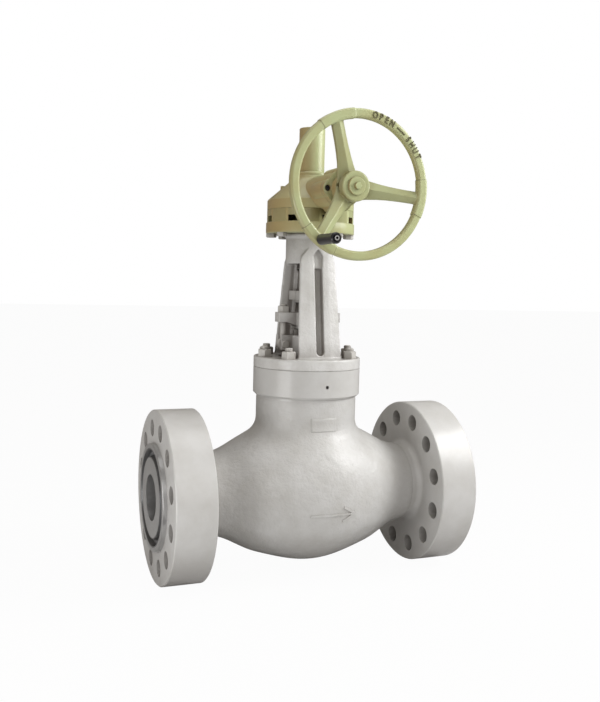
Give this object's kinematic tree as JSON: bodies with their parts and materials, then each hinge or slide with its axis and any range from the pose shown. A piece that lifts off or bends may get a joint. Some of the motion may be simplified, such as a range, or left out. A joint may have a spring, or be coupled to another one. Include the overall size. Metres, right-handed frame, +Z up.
{
  "type": "shut-off valve",
  "caption": "Flanged globe valve with pressure-seal bonnet, open yoke, bevel gear operator and handwheel with spinner grip.",
  "frame": {"origin": "centre of the inlet gasket face, on the axis of the pipe", "axes": "+X along the flow from inlet to outlet, +Z up the stem, the handwheel faces -Y"},
  "size_m": [1.038, 0.769, 1.463],
  "materials": {
    "cast_paint": "semi-gloss paint over cast steel",
    "operator_paint": "pale olive semi-gloss paint",
    "bare_steel": "machined",
    "fastener": "painted over with the yoke",
    "dark_steel": "blackened",
    "bronze": "machined bronze",
    "graphite": "graphite",
    "grip_plastic": "moulded, satin"
  },
  "bodies": {
    "valve": {"body": "cast_paint", "seat_ring": "bare_steel", "bonnet": "bare_steel", "pressure_seal_gasket": "graphite", "spacer_ring": "bare_steel", "segment_ring": "bare_steel", "bonnet_retainer": "bare_steel", "retainer_screws": "dark_steel", "backseat_bushing": "bare_steel", "packing_rings": "graphite", "lantern_ring": "bare_steel", "gland": "bare_steel", "gland_flange": "bare_steel", "gland_eyebolts": "fastener", "eyebolt_pins": "fastener", "gland_nuts": "fastener", "yoke": "cast_paint", "yoke_studs": "fastener", "yoke_nuts": "fastener", "gearbox_adaptor": "operator_paint", "adaptor_screws": "dark_steel", "adaptor_bolts": "fastener", "gearbox_base": "operator_paint", "gearbox_cover": "operator_paint", "cover_screws": "operator_paint", "grease_plug": "operator_paint", "lower_bearing": "bare_steel", "upper_bearing": "bare_steel", "pinion_housing": "operator_paint", "housing_screws": "dark_steel", "pinion_bearings": "bare_steel", "shaft_seal": "graphite", "stem_protector": "operator_paint", "protector_cap": "operator_paint"},
    "drive": {"drive_sleeve": "bare_steel", "stem_nut": "bronze", "bevel_gear": "bare_steel", "gear_key": "bare_steel", "sleeve_lock_nut": "bare_steel"},
    "stem_group": {"stem": "bare_steel", "disc": "bare_steel", "disc_nut": "bare_steel", "stem_clamp": "cast_paint", "clamp_bolts": "fastener"},
    "wheel": {"input_shaft": "bare_steel", "bevel_pinion": "bare_steel", "handwheel": "operator_paint", "wheel_key": "bare_steel", "wheel_washer": "operator_paint", "wheel_bolt": "operator_paint", "grip_pin": "bare_steel", "grip_screw": "bare_steel"},
    "spinner": {"grip": "grip_plastic"}
  },
  "joints": [
    {"name": "handwheel_spin", "type": "hinge", "parent": "valve", "child": "wheel", "pos_m": [0.519, -0.365, 0.97], "axis": [0, -1, 0], "range_deg": [0, 7200]},
    {"name": "sleeve_spin", "type": "hinge", "parent": "valve", "child": "drive", "pos_m": [0.519, 0, 0.9], "axis": [0, 0, 1], "range_deg": [0, 1800]},
    {"name": "stem_lift", "type": "slide", "parent": "valve", "child": "stem_group", "axis": [0, 0, 1], "range_m": [0, 0.045]},
    {"name": "grip_spin", "type": "hinge", "parent": "wheel", "child": "spinner", "pos_m": [0.39512, -0.437, 0.80855], "axis": [0, -1, 0], "continuous": true}
  ],
  "couplings": [
    {"joint": "sleeve_spin", "follows": "handwheel_spin", "ratio": 0.25},
    {"joint": "stem_lift", "follows": "handwheel_spin", "m_per_rad": 0.0003581}
  ]
}
